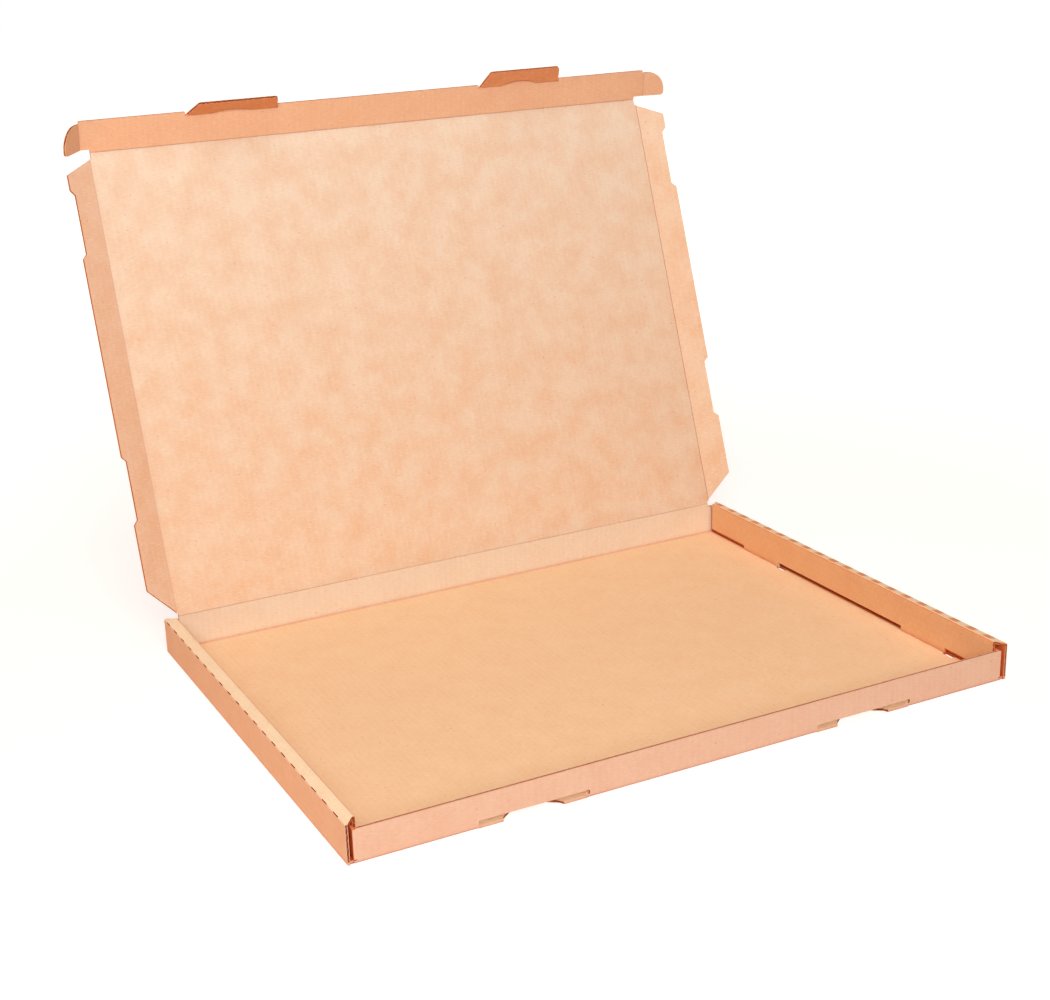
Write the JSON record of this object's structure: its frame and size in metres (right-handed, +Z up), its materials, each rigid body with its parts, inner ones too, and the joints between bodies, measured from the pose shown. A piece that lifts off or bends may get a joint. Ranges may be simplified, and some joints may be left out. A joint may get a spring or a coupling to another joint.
{
  "type": "large letter mailer box",
  "caption": "Shallow folding mailer of corrugated kraft board, with rolled side walls and a hinged tuck-front lid that locks in the front wall.",
  "frame": {"origin": "middle of the base's underside", "axes": "+X along the hinge, to the right; -Y to the front wall; +Z up"},
  "size_m": [0.3711, 0.3329, 0.279],
  "materials": {
    "kraft_board": "matt kraft liner on corrugated board"
  },
  "bodies": {
    "tray": {"tray": "kraft_board"},
    "lid_panel": {"lid_panel": "kraft_board"},
    "left_side_flap": {"left_side_flap": "kraft_board"},
    "right_side_flap": {"right_side_flap": "kraft_board"},
    "front_flap": {"front_flap": "kraft_board"},
    "left_lock_tab": {"left_lock_tab": "kraft_board"},
    "right_lock_tab": {"right_lock_tab": "kraft_board"},
    "left_ear": {"left_ear": "kraft_board"},
    "right_ear": {"right_ear": "kraft_board"}
  },
  "joints": [
    {"name": "lid_hinge", "type": "hinge", "parent": "tray", "child": "lid_panel", "pos_m": [0, 0.12395, 0.01845], "axis": [-1, 0, 0], "range_deg": [-109.4, 25.6]},
    {"name": "left_side_fold", "type": "hinge", "parent": "lid_panel", "child": "left_side_flap", "pos_m": [-0.16725, 0.16381, 0.13164], "axis": [0, -0.3322, -0.9432], "range_deg": [-118.2, 27.7]},
    {"name": "right_side_fold", "type": "hinge", "parent": "lid_panel", "child": "right_side_flap", "pos_m": [0.16725, 0.16381, 0.13164], "axis": [0, 0.3322, 0.9432], "range_deg": [-118.2, 27.7]},
    {"name": "front_fold", "type": "hinge", "parent": "lid_panel", "child": "front_flap", "pos_m": [0, 0.20686, 0.25388], "axis": [-1, 0, 0], "range_deg": [-62, 28]},
    {"name": "left_lock_fold", "type": "hinge", "parent": "front_flap", "child": "left_lock_tab", "pos_m": [-0.088, 0.20453, 0.2693], "axis": [-1, 0, 0], "range_deg": [-45, 45]},
    {"name": "right_lock_fold", "type": "hinge", "parent": "front_flap", "child": "right_lock_tab", "pos_m": [0.088, 0.20453, 0.2693], "axis": [-1, 0, 0], "range_deg": [-65, 25]},
    {"name": "left_ear_fold", "type": "hinge", "parent": "front_flap", "child": "left_ear", "pos_m": [-0.17235, 0.20551, 0.26278], "axis": [0, 0.1495, -0.9888], "range_deg": [-45, 45]},
    {"name": "right_ear_fold", "type": "hinge", "parent": "front_flap", "child": "right_ear", "pos_m": [0.17235, 0.20551, 0.26278], "axis": [0, -0.1495, 0.9888], "range_deg": [-85, 5]}
  ],
  "couplings": [
    {"joint": "left_side_fold", "follows": "lid_hinge", "ratio": 1.08},
    {"joint": "right_side_fold", "follows": "lid_hinge", "ratio": 1.08}
  ]
}
